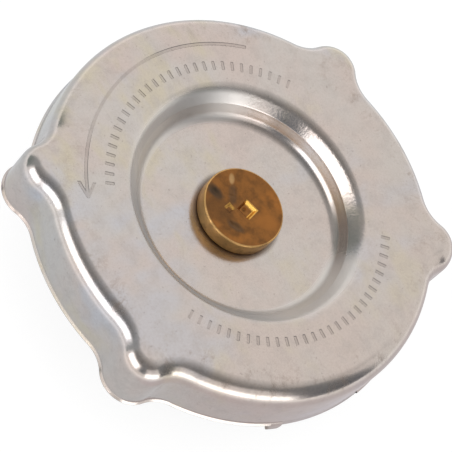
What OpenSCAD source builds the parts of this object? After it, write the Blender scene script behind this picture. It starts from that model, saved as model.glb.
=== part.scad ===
// Pressure cap for a filler neck: a pressed shell with four finger ears turns on a brass rivet,
// and the rivet carries a spring disc, a neck seal and a caged two way valve.
// Origin: middle of the neck seal's lower face. Z points up through the cap, millimetres.

/* [Shell] */
// Outside diameter of the skirt between the ears
body_d = 61.7; // [60.5:0.1:64]
// Angle between the two ears of a pair
ear_spread = 60; // [52:1:72]
// How far an ear stands out past the skirt
ear_reach = 3.7; // [2.8:0.1:4.6]
// Radius of an ear's tip
ear_tip_r = 4.4; // [3.8:0.1:5.2]
// Radius that blends an ear into the skirt
ear_blend_r = 5.6; // [4.5:0.1:8]
// Thickness of the pressed sheet
sheet_t = 0.9; // [0.7:0.05:1.1]
// Height of the shell from its top face to the lower edge of the skirt
shell_h = 9.9; // [9.4:0.1:11]
// Outside radius of the bend from the top into the skirt
shoulder_r = 3.3; // [2:0.1:3.5]
// How far the lower edge of the skirt flares out
lip_out = 0.15; // [0:0.05:0.5]
// Height of that flare
lip_h = 0.9; // [0.6:0.1:1.4]

/* [Dish] */
// Diameter at which the flat top bends down into the dish
dish_d = 40.4; // [39.4:0.2:41.4]
// Depth of the dish below the flat top
dish_depth = 4.7; // [4.4:0.1:5.4]
// Outside radius of the bend at the dish's rim
dish_rim_r = 3; // [2.2:0.1:3.4]
// Inside radius of the bend at the dish's floor
dish_floor_r = 2.4; // [2:0.1:2.8]
// Slope of the dish's wall below the rim
wall_slope = 44; // [40:1:48]
// Outside radius of the bend from the sloping wall into the steep foot
foot_bend_r = 1.2; // [1.2:0.1:1.8]
// Slope of the steep foot
foot_slope = 82; // [76:1:84]
// Length of the straight part of the foot
foot_run = 0.15; // [0.1:0.05:0.5]

/* [Bayonet tangs] */
// Angle that one turned-in tang covers
tang_arc = 26; // [22:0.2:34]
// How far a tang reaches in from the skirt's outside
tang_reach = 4; // [3:0.1:4.6]
// Outside radius of the tang's bend
tang_bend_r = 1.2; // [1.1:0.1:1.6]
// How far a tang hangs below the skirt's edge
tang_drop = 1; // [0.6:0.1:1.3]
// Width of the stop nib at the tang's end
nib_w = 1.9; // [1.2:0.1:2.2]
// Drop of the stop nib below the skirt
nib_drop = 1.7; // [1.2:0.1:2]

/* [Rivet] */
// Diameter of the rivet's head
head_d = 12.7; // [11:0.1:15]
// Thickness of the rivet's head
head_t = 2.65; // [1.8:0.05:3.2]
// Diameter of the rivet's shank
shank_d = 5.6; // [4.8:0.1:6.4]
// Side of the square staking pocket in the head
pocket_w = 2.5; // [2:0.1:3.4]
// Depth of the staking pocket
pocket_t = 0.55; // [0.2:0.05:0.8]
// How far the pocket sits from the middle of the head
pocket_off = 0.8; // [0:0.1:1.4]
// Diameter of the rolled end below the washer
clinch_d = 8.6; // [7.8:0.1:9.4]
// Height of the rolled end
clinch_t = 0.8; // [0.6:0.1:1.1]
// Diameter of the washer under the rolled end
washer_d = 11; // [10:0.2:13]
// Thickness of that washer
washer_t = 0.5; // [0.4:0.1:0.8]

/* [Spring disc and neck seal] */
// Thickness of the spring disc
disc_t = 0.45; // [0.35:0.05:0.6]
// Height by which the disc's rim stands above its middle
disc_rise = 2.42; // [2.3:0.02:2.8]
// Diameter of the disc
disc_d = 50.8; // [49:0.2:52]
// Outside diameter of the neck seal
seal_d = 50; // [47:0.2:50.8]
// Gap between the disc's bend and the neck seal's bore
seal_gap = 1.1; // [0.6:0.1:1.6]
// Thickness of the neck seal
seal_t = 1.6; // [1.2:0.1:2]

/* [Spring cage] */
// Gap between the cage and the pressure spring round it
coil_gap = 0.55; // [0.4:0.05:0.7]
// Height of the cage
cage_h = 12.3; // [11.4:0.1:13]
// Sheet thickness of the cage, the valve plate and its crown
cage_t = 0.8; // [0.6:0.05:0.9]
// Outside radius of the cage's bends
cage_bend_r = 1.2; // [1.1:0.05:1.4]
// Width of the turned-in lip
lip_w = 2.1; // [1.9:0.05:2.2]
// Windows round the cage
window_n = 4; // [3:1:5]
// Width of a window
window_w = 5.2; // [3:0.2:6]
// Height of a window
window_h = 5.5; // [3:0.5:6.5]

/* [Pressure valve] */
// Travel of the pressure valve
press_travel = 3.5; // [2.5:0.1:3.8]
// Wire of the pressure spring
wire_d = 1.9; // [1.6:0.05:1.9]
// Middle diameter of the pressure spring
coil_d = 24.4; // [24:0.1:24.8]
// Turns of the pressure spring
coil_n = 5.5; // [4.5:0.25:5.5]
// Clearance between the crown's neck and the cage's lip
neck_gap = 0.4; // [0.35:0.05:0.6]
// Clearance between the retaining lugs and the cage's lower bend
lug_gap = 0.15; // [0.1:0.05:0.3]
// Angle that one lug covers
lug_arc = 44; // [25:1:60]
// Diameter of the valve plate's brim
brim_d = 32.8; // [32:0.2:33.2]
// Outside diameter of the valve gasket
gasket_d = 35; // [34.6:0.1:35.6]
// How far the gasket's bore lies inside the crown's neck
bore_in = 0.5; // [0.2:0.05:0.7]
// Thickness of the gasket under the brim
gasket_t = 2.1; // [1.9:0.1:2.5]
// Inside diameter of the land that seals on the neck
land_d = 25; // [24:0.2:27]
// Height of the step between the gasket's two lands
land_t = 0.8; // [0.75:0.05:1]
// Width of the lip that holds the gasket on the brim
hold_w = 1.5; // [1:0.1:1.7]
// Thickness of that lip
hold_t = 0.8; // [0.6:0.1:1]

/* [Vacuum valve] */
// Travel of the vacuum valve
vac_travel = 1.6; // [1:0.1:1.7]
// Diameter of the vacuum valve's disc
vac_d = 20.4; // [18:0.2:22]
// Thickness of the vacuum valve's disc
vac_t = 0.7; // [0.5:0.05:0.7]
// Diameter of its stem
stem_d = 3; // [2.6:0.1:3.2]
// Wire of the vacuum spring
vac_wire_d = 0.4; // [0.3:0.05:0.4]
// Middle diameter of the vacuum spring
vac_coil_d = 4.9; // [4.7:0.1:5.1]
// Fitted length of the vacuum spring
vac_coil_h = 3; // [2.9:0.1:3.4]
// Turns of the vacuum spring
vac_coil_n = 3; // [2.5:0.25:3]
// Diameter of the spring's retaining washer
keeper_d = 6.8; // [6.4:0.1:8]
// Thickness of the retaining washer
keeper_t = 0.5; // [0.3:0.05:0.7]
// Vent holes in the crown
vent_n = 4; // [3:1:5]
// Diameter of a vent hole
vent_d = 2.4; // [1.6:0.1:2.6]

/* [Fits] */
// Play between the turning shell and what it turns between
turn_gap = 0.12; // [0.1:0.01:0.16]
// Clearance round the rivet's shank and the vacuum stem
run_gap = 0.05; // [0.03:0.01:0.09]
// Clearance between the valve brim and the cage at full travel
stop_gap = 0.35; // [0.2:0.05:0.6]

/* [Hidden] */
$fn = 96;

// Rings that follow the pressure spring, from the outside in
cage_d = coil_d - wire_d - 2 * coil_gap;
cage_lip_d = cage_d - 2 * lip_w;
lug_d = cage_d - 2 * cage_bend_r - 2 * lug_gap;
neck_d = cage_lip_d - 2 * neck_gap;
gasket_in_d = neck_d - 2 * bore_in;

// Levels, from the neck seal's lower face
disc_top = seal_t - disc_rise + disc_t;
floor_low = disc_top + turn_gap;
floor_top = floor_low + sheet_t;
top_z = floor_top + dish_depth;
disc_low = disc_top - disc_t;
cage_low = disc_low - cage_h;
lip_top = cage_low + cage_t;
crown_top = lip_top + cage_t;
brim_top = cage_low - press_travel - stop_gap;
brim_low = brim_top - cage_t;
land_z = brim_low - gasket_t;
seat_z = land_z + land_t;
keeper_z = crown_top + vac_coil_h;
washer_low = disc_low - cage_t - washer_t;

// Outline of the shell: skirt arcs, ear tips and the blends between them
body_r = body_d / 2;
ear_c = body_r + ear_reach - ear_tip_r;
blend_c = body_r + ear_blend_r;
blend_sum = ear_tip_r + ear_blend_r;
blend_a = acos((ear_c * ear_c + blend_c * blend_c - blend_sum * blend_sum) / (2 * ear_c * blend_c));
blend_x = blend_c * cos(blend_a);
blend_y = blend_c * sin(blend_a);
tip_a = atan2(blend_y, blend_x - ear_c);
wide_a = 90 - ear_spread / 2 - blend_a;
tang_a = tang_arc / 2;
nib_a = nib_w / body_r * 180 / PI;
edge_a = 0.35;

function span(a, b, n) = [for (i = [0:n - 1]) a + (b - a) * i / n];
function turned(p, a) = [p[0] * cos(a) - p[1] * sin(a), p[0] * sin(a) + p[1] * cos(a)];

// A station on the outline: centre, radius, side of the sheet, angle and kind of lower edge
function body_st(a, kind) = [[0, 0], body_r, 1, a, kind];
function tip_st(a, ear) = [turned([ear_c, 0], ear), ear_tip_r, 1, a + ear, 0];
function blend_st(a, ear, side) = [turned([blend_x, side * blend_y], ear), ear_blend_r, -1, a + ear, 0];

function ear_stations(ear) = concat(
    [for (a = span(180 - blend_a, 180 - tip_a, 4)) blend_st(a, ear, -1)],
    [for (a = span(-tip_a, tip_a, 8)) tip_st(a, ear)],
    [for (a = span(180 + tip_a, 180 + blend_a, 4)) blend_st(a, ear, 1)]);

function half_stations() = concat(
    [for (a = span(-wide_a, -tang_a - nib_a - edge_a, 4)) body_st(a, 0)],
    [body_st(-tang_a - nib_a - edge_a, 0)],
    [for (a = span(-tang_a - nib_a, -tang_a - edge_a, 2)) body_st(a, 2)],
    [body_st(-tang_a - edge_a, 2)],
    [for (a = span(-tang_a, tang_a, 6)) body_st(a, 1)],
    [body_st(tang_a, 1)],
    [for (a = span(tang_a + edge_a, wide_a, 4)) body_st(a, 0)],
    ear_stations(90 - ear_spread / 2),
    [for (a = span(90 - ear_spread / 2 + blend_a, 90 + ear_spread / 2 - blend_a, 6)) body_st(a, 0)],
    ear_stations(90 + ear_spread / 2));

half = half_stations();
stations = concat(half, [for (s = half) [turned(s[0], 180), s[1], s[2], s[3] + 180, s[4]]]);

// Point of a station at an inset from the outline
function inset_xy(s, x) = s[0] + (s[1] - s[2] * x) * [cos(s[3]), sin(s[3])];

// Section of the sheet as insets and heights: top, shoulder, skirt, lower edge and back up inside
bend_in = tang_bend_r - sheet_t;
tang_low = shell_h + tang_drop;
function edge_section(kind) = kind == 1
    ? [[0, tang_bend_r - tang_low],
       [tang_bend_r * 0.293, tang_bend_r * 0.293 - tang_low],
       [tang_bend_r, -tang_low],
       [tang_reach, -tang_low],
       [tang_reach, sheet_t - tang_low],
       [sheet_t + bend_in, sheet_t - tang_low],
       [sheet_t, tang_bend_r - tang_low]]
    : [[0, lip_h - shell_h],
       [-lip_out * 0.5, lip_h * 0.4 - shell_h],
       [-lip_out, -shell_h - (kind == 2 ? nib_drop * 0.7 : 0)],
       [sheet_t * 0.5 - lip_out, -shell_h - (kind == 2 ? nib_drop : 0)],
       [sheet_t - lip_out, -shell_h - (kind == 2 ? nib_drop * 0.7 : 0)],
       [sheet_t - lip_out * 0.5, lip_h * 0.4 - shell_h],
       [sheet_t, tang_bend_r - shell_h]];
shoulder_in = shoulder_r - sheet_t;
function rim_section(kind) = concat(
    [for (a = span(0, 90, 5)) [shoulder_r * (1 - sin(a)), shoulder_r * (cos(a) - 1)]],
    [[0, -shoulder_r]],
    edge_section(kind),
    [[sheet_t, -shoulder_r]],
    [for (a = span(72, 0, 4)) [shoulder_r - shoulder_in * sin(a), shoulder_in * cos(a) - shoulder_r]],
    [[shoulder_r, -sheet_t]]);

// Section of the dish as radii and heights, from the middle out, for the face or the back of the sheet
dish_c = dish_d / 2;
wall_run = (dish_depth - dish_rim_r * (1 - cos(wall_slope))
    - foot_bend_r * (cos(wall_slope) - cos(foot_slope))
    - dish_floor_r * (1 - cos(foot_slope)) - foot_run * sin(foot_slope)) / sin(wall_slope);
bend_x = dish_c - (dish_rim_r - foot_bend_r) * sin(wall_slope) - wall_run * cos(wall_slope);
bend_z = -dish_rim_r + (dish_rim_r - foot_bend_r) * cos(wall_slope) - wall_run * sin(wall_slope);
foot_sum = foot_bend_r + dish_floor_r;
floor_r = bend_x - foot_sum * sin(foot_slope) - foot_run * cos(foot_slope);
core_r = shank_d / 2 - 0.8;

// Spring disc: it bends up clear of the dish, and the neck seal clears that bend
drum_r = floor_r + (dish_floor_r + sheet_t) * sin(foot_slope);
disc_in_r = drum_r - 1;
disc_out_r = drum_r + 1.7;
disc_shift = disc_t * tan(atan2(disc_rise, disc_out_r - disc_in_r) / 2);
seal_in_d = 2 * (disc_out_r + disc_shift + seal_gap);

// Faces of the dish
function dish_section(back) = let (
        rim = dish_rim_r - back,
        foot = foot_bend_r - back,
        low = dish_floor_r + back,
        rim_z = -dish_rim_r,
        low_z = dish_floor_r - dish_depth)
    concat(
        [[core_r, low_z - low]],
        [for (a = span(0, foot_slope, 4)) [floor_r + low * sin(a), low_z - low * cos(a)]],
        [[floor_r + low * sin(foot_slope), low_z - low * cos(foot_slope)]],
        [for (a = [foot_slope, wall_slope])
            [bend_x - foot * sin(a), bend_z + foot * cos(a)]],
        [for (a = span(wall_slope, 0, 3)) [dish_c - rim * sin(a), rim_z + rim * cos(a)]],
        [[dish_c, rim_z + rim]]);
dish_face = dish_section(0);
dish_back = dish_section(sheet_t);
dish_n = len(dish_face);

// One ring of points round the sheet at a station: dish, top, skirt, and back along the inside
function ring(s) = let (
        p = inset_xy(s, shoulder_r),
        c = p / norm(p))
    concat(
        [for (q = dish_face) [q[0] * c[0], q[0] * c[1], q[1]]],
        [for (q = rim_section(s[4])) let (xy = inset_xy(s, q[0])) [xy[0], xy[1], q[1]]],
        [for (i = [dish_n - 1:-1:0]) let (q = dish_back[i]) [q[0] * c[0], q[0] * c[1], q[1]]]);

// Closed band of rings
module band(rings) {
    n = len(rings);
    m = len(rings[0]);
    polyhedron(
        points = [for (r = rings) each r],
        faces = [for (i = [0:n - 1], j = [0:m - 1], k = [0, 1])
            let (a = i * m + j, b = i * m + (j + 1) % m,
                 c = ((i + 1) % n) * m + j, d = ((i + 1) % n) * m + (j + 1) % m)
            k == 0 ? [a, b, c] : [b, d, c]]);
}

// Rod swept along rings of points, closed at both ends
module rod(rings) {
    n = len(rings);
    m = len(rings[0]);
    polyhedron(
        points = [for (r = rings) each r],
        faces = concat(
            [[for (j = [0:m - 1]) j]],
            [[for (j = [m - 1:-1:0]) (n - 1) * m + j]],
            [for (i = [0:n - 2], j = [0:m - 1], k = [0, 1])
                let (a = i * m + j, b = i * m + (j + 1) % m, c = a + m, d = b + m)
                k == 0 ? [a, c, b] : [b, c, d]]));
}

// Coil spring from z = 0 to z = h with closed ends that are ground flat
module coil(r, wire, h, turns, steps, sides) {
    low = 0.24 * wire;
    pitch = 1.04 * wire;
    live = (h - 2 * low - 2 * pitch) / (turns - 2);
    total = round(turns * steps);
    rod([for (i = [0:total])
        let (u = turns * i / total,
             z = u < 1 ? low + u * pitch
               : u > turns - 1 ? h - low - (turns - u) * pitch
               : low + pitch + (u - 1) * live)
        [for (j = [0:sides - 1])
            let (b = 360 * (j + 0.5) / sides, rr = r + wire / 2 * cos(b), zz = z + wire / 2 * sin(b))
            [rr * cos(360 * u), rr * sin(360 * u), min(h, max(0, zz))]]]);
}

// Quarter of a bent sheet round a centre, as a flat section
module bend(c, r_out, r_in, from) {
    intersection() {
        translate(c)
            difference() {
                circle(r_out);
                circle(r_in);
            }
        translate(c)
            rotate(from)
                square(r_out + 1);
    }
}

module shell() {
    color("silver")
        translate([0, 0, top_z])
            difference() {
                band([for (s = stations) ring(s)]);
                translate([0, 0, -dish_depth - 2 * sheet_t])
                    cylinder(d = shank_d + 2 * run_gap, h = 3 * sheet_t);
            }
}

module centre_rivet() {
    low = floor_top + turn_gap;
    high = low + head_t;
    edge = 0.25;
    end = washer_low - clinch_t;
    color("goldenrod")
        difference() {
            rotate_extrude()
                polygon([
                    [0, high],
                    [head_d / 2 - edge, high],
                    [head_d / 2, high - edge],
                    [head_d / 2, low],
                    [shank_d / 2, low],
                    [shank_d / 2, washer_low],
                    [clinch_d / 2 - edge, washer_low],
                    [clinch_d / 2, washer_low - edge],
                    [clinch_d / 2 - edge, end],
                    [shank_d / 2 - 0.4, end],
                    [shank_d / 2 - 1.4, end + 1.6],
                    [0, end + 2]]);
            rotate(-18)
                translate([pocket_off, 0, high])
                    rotate(48)
                        cube([pocket_w, pocket_w, 2 * pocket_t], center = true);
        }
}

module rivet_washer() {
    color("darkgray")
        translate([0, 0, washer_low])
            difference() {
                cylinder(d = washer_d, h = washer_t);
                translate([0, 0, -1])
                    cylinder(d = shank_d + 2 * run_gap, h = washer_t + 2);
            }
}

module spring_disc() {
    hole = shank_d / 2 + run_gap;
    color("lightsteelblue")
        rotate_extrude()
            polygon([
                [hole, disc_top],
                [disc_in_r, disc_top],
                [disc_out_r, disc_top + disc_rise],
                [disc_d / 2, disc_top + disc_rise],
                [disc_d / 2, seal_t],
                [disc_out_r + disc_shift, seal_t],
                [disc_in_r + disc_shift, disc_low],
                [hole, disc_low]]);
}

module neck_seal() {
    color("dimgray")
        difference() {
            cylinder(d = seal_d, h = seal_t);
            translate([0, 0, -1])
                cylinder(d = seal_in_d, h = seal_t + 2);
        }
}

module cage_section() {
    hole = shank_d / 2 + run_gap;
    r = cage_d / 2;
    inner = cage_bend_r - cage_t;
    translate([hole, disc_low - cage_t])
        square([r - cage_bend_r - hole, cage_t]);
    bend([r - cage_bend_r, disc_low - cage_bend_r], cage_bend_r, inner, 0);
    translate([r - cage_t, cage_low + cage_bend_r])
        square([cage_t, cage_h - 2 * cage_bend_r]);
    bend([r - cage_bend_r, cage_low + cage_bend_r], cage_bend_r, inner, -90);
    translate([cage_lip_d / 2, cage_low])
        square([r - cage_bend_r - cage_lip_d / 2, cage_t]);
}

module spring_cage() {
    color("slategray")
        difference() {
            rotate_extrude()
                cage_section();
            for (i = [0:window_n - 1])
                rotate(45 + 360 * i / window_n)
                    translate([cage_d / 2 - 1.5 * cage_t, -window_w / 2, cage_low + cage_h / 2 - window_h / 2])
                        cube([3 * cage_t, window_w, window_h]);
        }
}

module pressure_spring() {
    color("gray")
        translate([0, 0, brim_top])
            coil(coil_d / 2, wire_d, disc_low - brim_top, coil_n, 24, 8);
}

// Flat blank of the crown: disc, retaining lugs, stem hole and vents
module crown_blank() {
    vent_c = ((vac_coil_d + vac_wire_d) / 2 + neck_d / 2 - cage_t) / 2;
    difference() {
        union() {
            circle(d = neck_d);
            for (a = [0:90:270])
                rotate(a)
                    intersection() {
                        circle(d = lug_d);
                        polygon([
                            [0, 0],
                            lug_d * [cos(lug_arc / 2), -sin(lug_arc / 2)],
                            lug_d * [cos(lug_arc / 2), sin(lug_arc / 2)]]);
                    }
        }
        circle(d = stem_d + 2 * run_gap);
        for (i = [0:vent_n - 1])
            rotate(45 + 360 * i / vent_n)
                translate([vent_c, 0])
                    circle(d = vent_d);
    }
}

module valve_plate() {
    r = neck_d / 2;
    color("lightslategray") {
        translate([0, 0, crown_top - cage_t])
            linear_extrude(cage_t)
                crown_blank();
        rotate_extrude() {
            translate([r - cage_t, brim_low])
                square([cage_t, crown_top - cage_t - brim_low]);
            translate([r - cage_t, brim_low])
                square([brim_d / 2 - r + cage_t, cage_t]);
        }
    }
}

module valve_gasket() {
    color("black")
        rotate_extrude()
            polygon([
                [gasket_in_d / 2, brim_low],
                [brim_d / 2, brim_low],
                [brim_d / 2, brim_top],
                [brim_d / 2 - hold_w, brim_top],
                [brim_d / 2 - hold_w, brim_top + hold_t],
                [gasket_d / 2 - 0.3, brim_top + hold_t],
                [gasket_d / 2, brim_top + hold_t - 0.3],
                [gasket_d / 2, land_z],
                [land_d / 2, land_z],
                [land_d / 2, seat_z],
                [gasket_in_d / 2, seat_z]]);
}

module vacuum_valve() {
    head_r = stem_d / 2 + 0.6;
    end = keeper_z + keeper_t;
    color("darkgoldenrod")
        rotate_extrude()
            polygon([
                [0, seat_z - vac_t],
                [vac_d / 2 - 0.3, seat_z - vac_t],
                [vac_d / 2, seat_z - vac_t + 0.3],
                [vac_d / 2, seat_z],
                [stem_d / 2 + 1, seat_z],
                [stem_d / 2, seat_z + 1],
                [stem_d / 2, end],
                [head_r, end],
                [head_r - 0.3, end + 0.5],
                [0, end + 0.5]]);
}

module vacuum_spring() {
    color("silver")
        translate([0, 0, crown_top])
            coil(vac_coil_d / 2, vac_wire_d, vac_coil_h, vac_coil_n, 18, 6);
}

module spring_keeper() {
    color("darkgray")
        translate([0, 0, keeper_z])
            difference() {
                cylinder(d = keeper_d, h = keeper_t);
                translate([0, 0, -1])
                    cylinder(d = stem_d + 2 * run_gap, h = keeper_t + 2);
            }
}

shell();
centre_rivet();
rivet_washer();
spring_disc();
neck_seal();
spring_cage();
pressure_spring();
valve_plate();
valve_gasket();
vacuum_valve();
vacuum_spring();
spring_keeper();
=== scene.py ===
# %% [markdown]
# # A radiator cap, finished in Blender
# The real cap is a disc of zinc plated steel, pressed into a shallow cup with four finger ears and a
# round dish, and turning on a brass rivet. Under it hang a sprung seal and a caged valve. The solids and
# their joints come packed in the frame. Here each piece gets the smooth surface and the finish that the
# eye sees: pieces that show are worked out again as fine numpy surfaces on the same sizes, and the rest
# keep their packed mesh and get a material.

# %% Frame
import bpy
import numpy as np
from mathutils import Matrix


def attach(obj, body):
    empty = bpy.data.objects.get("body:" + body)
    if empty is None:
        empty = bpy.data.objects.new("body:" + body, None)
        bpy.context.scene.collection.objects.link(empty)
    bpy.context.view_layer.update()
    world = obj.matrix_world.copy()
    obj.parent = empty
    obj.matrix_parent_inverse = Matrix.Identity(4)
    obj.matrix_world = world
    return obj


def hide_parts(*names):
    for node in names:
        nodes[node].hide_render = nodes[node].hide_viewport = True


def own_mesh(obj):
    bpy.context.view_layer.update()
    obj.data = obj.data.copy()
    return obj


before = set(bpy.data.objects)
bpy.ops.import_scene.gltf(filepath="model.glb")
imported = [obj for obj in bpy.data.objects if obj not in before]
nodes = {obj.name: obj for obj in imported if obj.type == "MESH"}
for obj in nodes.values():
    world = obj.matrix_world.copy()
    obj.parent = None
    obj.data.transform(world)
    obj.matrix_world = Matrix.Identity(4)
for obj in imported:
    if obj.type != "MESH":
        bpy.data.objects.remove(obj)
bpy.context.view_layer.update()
MM = 0.001
print("packed nodes:", sorted(nodes))

# %% [markdown]
# ## Surfaces on a grid
# Every new piece is a grid of points: stations go round the piece and rows run along its section. A grid
# could be made by hand with extrusions, but a formula keeps edges even and lets the same sizes drive both
# the solids and the looks. Neighbouring points are joined by four sided faces.

# %% Grid to mesh
def grid_piece(name, points, body, stands_for, rows_closed=False, capped=False, crease=38):
    """points has shape (stations, rows, 3) in millimetres. Stations close into a ring. Rows close too
    if rows_closed, or the first and last ring are filled by one flat face each if capped."""
    n, m = points.shape[:2]
    index = np.arange(n * m).reshape(n, m)
    here = index if rows_closed else index[:, :-1]
    up = np.roll(index, -1, axis=1) if rows_closed else index[:, 1:]
    corners = [here, np.roll(here, -1, axis=0), np.roll(up, -1, axis=0), up]
    quads = np.stack(corners, axis=-1).reshape(-1, 4)
    faces = quads.tolist()
    if capped:
        faces += [index[::-1, 0].tolist(), index[:, -1].tolist()]
    mesh = bpy.data.meshes.new(name)
    mesh.from_pydata((points.reshape(-1, 3) * MM).tolist(), [], faces)
    mesh.update()
    mesh.shade_smooth()
    mesh.set_sharp_from_angle(angle=np.radians(crease))
    piece = bpy.data.objects.new(name, mesh)
    bpy.context.scene.collection.objects.link(piece)
    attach(piece, body)
    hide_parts(stands_for)
    print(name, "stations", n, "rows", m, "triangles", 2 * len(quads))
    return piece

# %% Sections
def turned(profile, count=180):
    """Revolves a section: each (radius, height) becomes a ring of count stations about Z."""
    r, z = np.asarray(profile, float).T
    a = np.linspace(0, 2 * np.pi, count, endpoint=False)[:, None]
    return np.stack([r * np.cos(a), r * np.sin(a), z + 0 * a], axis=-1)


def rounded(corners, radius, steps=4, share=0.45):
    """Rounds each corner of a closed section: the corner is replaced by a parabola that leaves one side at
    radius from the corner and joins the next side at the same distance, or at a share of a short side."""
    c = np.asarray(corners, float)
    back = np.roll(c, 1, axis=0) - c
    ahead = np.roll(c, -1, axis=0) - c
    back_long, ahead_long = np.hypot(*back.T), np.hypot(*ahead.T)
    reach = np.minimum(radius, share * np.minimum(back_long, ahead_long))[:, None]
    start = c + back / back_long[:, None] * reach
    end = c + ahead / ahead_long[:, None] * reach
    t = np.linspace(0, 1, steps)[None, :, None]
    curve = (1 - t) ** 2 * start[:, None] + 2 * t * (1 - t) * c[:, None] + t ** 2 * end[:, None]
    return curve.reshape(-1, 2)


def smooth(low, high, x):
    """Rises from 0 at low to 1 at high with level ends."""
    t = np.clip((x - low) / (high - low), 0, 1)
    return t * t * (3 - 2 * t)


print("a square rounded to", len(rounded([(0, 0), (1, 0), (1, 1), (0, 1)], 0.2)), "points")

# %% [markdown]
# ## Sizes of the shell
# These are the sizes of the pressed sheet in millimetres, as the solid has them. Two things are drawn for
# the eye: the foot of the dish wall is less steep, and the skirt has a slight waist above a rolled lip. The
# outline is a chain of arcs: the skirt's circle, an ear's tip, and the blend between them, which curves the
# other way.

# %% Shell sizes
TOP = 5.35  # the flat top, over the lip of the filler neck
BODY_R = 30.85  # outside of the skirt
EAR_REACH = 3.7  # how far an ear stands out
EAR_TIP_R = 4.4
EAR_BLEND_R = 5.6
EAR_HALF = 30.0  # degrees from the middle of a pair to each ear
SHEET = 0.9
SHELL_H = 9.9
SHOULDER_R = 3.3
LIP_OUT, LIP_IN = 0.15, 0.12  # the lip stands out and the waist goes in
LIP_H, EDGE_H = 0.82, 0.42  # heights of the flare and of the rounded edge
DISH_R = 20.2  # where the rim's curve leaves the flat
DISH_DEPTH = 4.7
DISH_RIM_R, DISH_FLOOR_R = 3.0, 2.4
WALL_A, FOOT_A = 50.0, 62.0  # slopes of the wall's upper and lower part
FOOT_R, FOOT_RUN = 1.2, 1.3  # bend between them, and the lower part's length
HOLE_R = 2.85
TANG_A, TANG_REACH, TANG_BEND_R, TANG_DROP = 13.0, 4.0, 1.2, 1.0
NIB_W, NIB_DROP = 1.9, 1.7  # stop nib beside a tang
EDGE_A = 0.35  # degrees over which the edge turns into a tang

# %% Outline and dish from the sizes
ear_c = BODY_R + EAR_REACH - EAR_TIP_R
blend_c = BODY_R + EAR_BLEND_R
touch = EAR_TIP_R + EAR_BLEND_R
blend_a = np.degrees(np.arccos((ear_c ** 2 + blend_c ** 2 - touch ** 2) / (2 * ear_c * blend_c)))
blend_xy = blend_c * np.array([np.cos(np.radians(blend_a)), np.sin(np.radians(blend_a))])
tip_a = np.degrees(np.arctan2(blend_xy[1], blend_xy[0] - ear_c))
wide_a = 90 - EAR_HALF - blend_a
nib_a = np.degrees(NIB_W / BODY_R)
wall_a, foot_a = np.radians(WALL_A), np.radians(FOOT_A)
curve_drop = (DISH_RIM_R * (1 - np.cos(wall_a)) + FOOT_R * (np.cos(wall_a) - np.cos(foot_a))
              + DISH_FLOOR_R * (1 - np.cos(foot_a)))
wall_run = (DISH_DEPTH - curve_drop - FOOT_RUN * np.sin(foot_a)) / np.sin(wall_a)
bend_x = DISH_R - (DISH_RIM_R - FOOT_R) * np.sin(wall_a) - wall_run * np.cos(wall_a)
bend_z = -DISH_RIM_R + (DISH_RIM_R - FOOT_R) * np.cos(wall_a) - wall_run * np.sin(wall_a)
floor_r = bend_x - (FOOT_R + DISH_FLOOR_R) * np.sin(foot_a) - FOOT_RUN * np.cos(foot_a)
print("dish wall", round(wall_run, 2), "dish floor", round(floor_r, 2))
print("ear blend", round(blend_a, 2), "ear tip", round(tip_a, 2), "wide arc", round(wide_a, 2))

# %% [markdown]
# ## Stations round the outline
# A station knows its arc's centre and radius, which side of the arc the sheet lies on, and its angle. A
# point set in from the outline is then the centre plus the shortened radius, so every inset of the outline
# stays exact, without any offset tool.

# %% Arcs
def arc(centre, radius, side, angles):
    """Rows of centre x, centre y, radius, side and angle for the stations of one arc."""
    angles = np.asarray(angles, float)
    one = np.ones_like(angles)
    return np.stack([centre[0] * one, centre[1] * one, radius * one, side * one, angles], axis=1)


def spun(stations, degrees):
    """The same stations turned about Z."""
    c, s = np.cos(np.radians(degrees)), np.sin(np.radians(degrees))
    x, y, radius, side, angle = stations.T
    return np.stack([x * c - y * s, x * s + y * c, radius, side, angle + degrees], axis=1)


def ear(degrees, blend_count=12, tip_count=23):
    """Blend, tip and blend of the ear whose middle is at that angle."""
    into = np.linspace(180 - blend_a, 180 - tip_a, blend_count)[:-1]
    around = np.linspace(-tip_a, tip_a, tip_count)[:-1]
    away = np.linspace(180 + tip_a, 180 + blend_a, blend_count)[:-1]
    low = arc((blend_xy[0], -blend_xy[1]), EAR_BLEND_R, -1, into)
    tip = arc((ear_c, 0), EAR_TIP_R, 1, around)
    high = arc((blend_xy[0], blend_xy[1]), EAR_BLEND_R, -1, away)
    return spun(np.concatenate([low, tip, high]), degrees)


print("stations of an ear", len(ear(0)))

# %% Outline
WIDE_COUNT, NARROW_COUNT = 180, 42
tang_marks = [-TANG_A - nib_a - EDGE_A, -TANG_A - nib_a, -TANG_A - EDGE_A, -TANG_A, TANG_A, TANG_A + EDGE_A]
wide = np.concatenate([np.linspace(-wide_a, wide_a, WIDE_COUNT), tang_marks])
wide = np.unique(np.round(wide, 4))[:-1]
narrow = np.linspace(90 - EAR_HALF + blend_a, 90 + EAR_HALF - blend_a, NARROW_COUNT)[:-1]
half = np.concatenate([arc((0, 0), BODY_R, 1, wide), ear(90 - EAR_HALF),
                       arc((0, 0), BODY_R, 1, narrow), ear(90 + EAR_HALF)])
outline = np.concatenate([half, spun(half, 180)])
print("outline stations", len(outline))


def inset(stations, x):
    """Points at the insets x from the outline: centre plus radius minus side times inset, at the angle."""
    centre_x, centre_y, radius, side, angle = (column[:, None] for column in stations.T)
    a = np.radians(angle)
    r = radius - side * x
    return centre_x + r * np.cos(a), centre_y + r * np.sin(a)

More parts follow.
